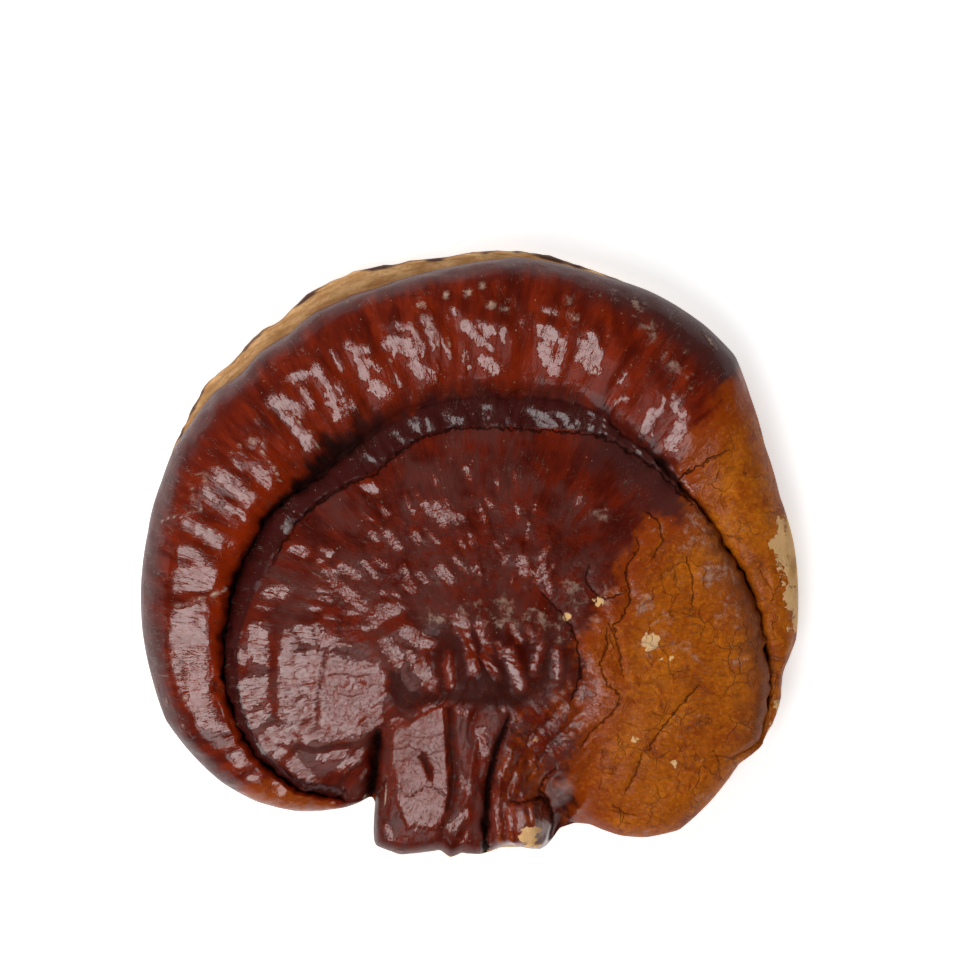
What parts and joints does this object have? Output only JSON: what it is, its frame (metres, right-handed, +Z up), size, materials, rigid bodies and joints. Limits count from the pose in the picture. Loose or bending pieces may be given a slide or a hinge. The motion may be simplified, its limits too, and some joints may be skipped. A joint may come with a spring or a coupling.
{
  "type": "dried reishi mushroom with a lateral stem stub",
  "caption": "Dried reishi mushroom: fan-shaped lacquered cap with a thick outer roll, ochre growing side, pale lip and a cut lateral stem stub, lying on its pore side.",
  "frame": {"origin": "middle of the flat pore side that the mushroom rests on, under the centre of its outline", "axes": "+Z up out of the lacquered top, the stem towards -Y, +X to the ochre side, right of the picture"},
  "size_m": [0.1254, 0.1156, 0.0241],
  "materials": {
    "lacquered_fungus": "glossy dark red-brown lacquered crust, ochre on one side, woody within"
  },
  "bodies": {
    "root": {"reishi_mushroom": "lacquered_fungus"}
  },
  "joints": []
}
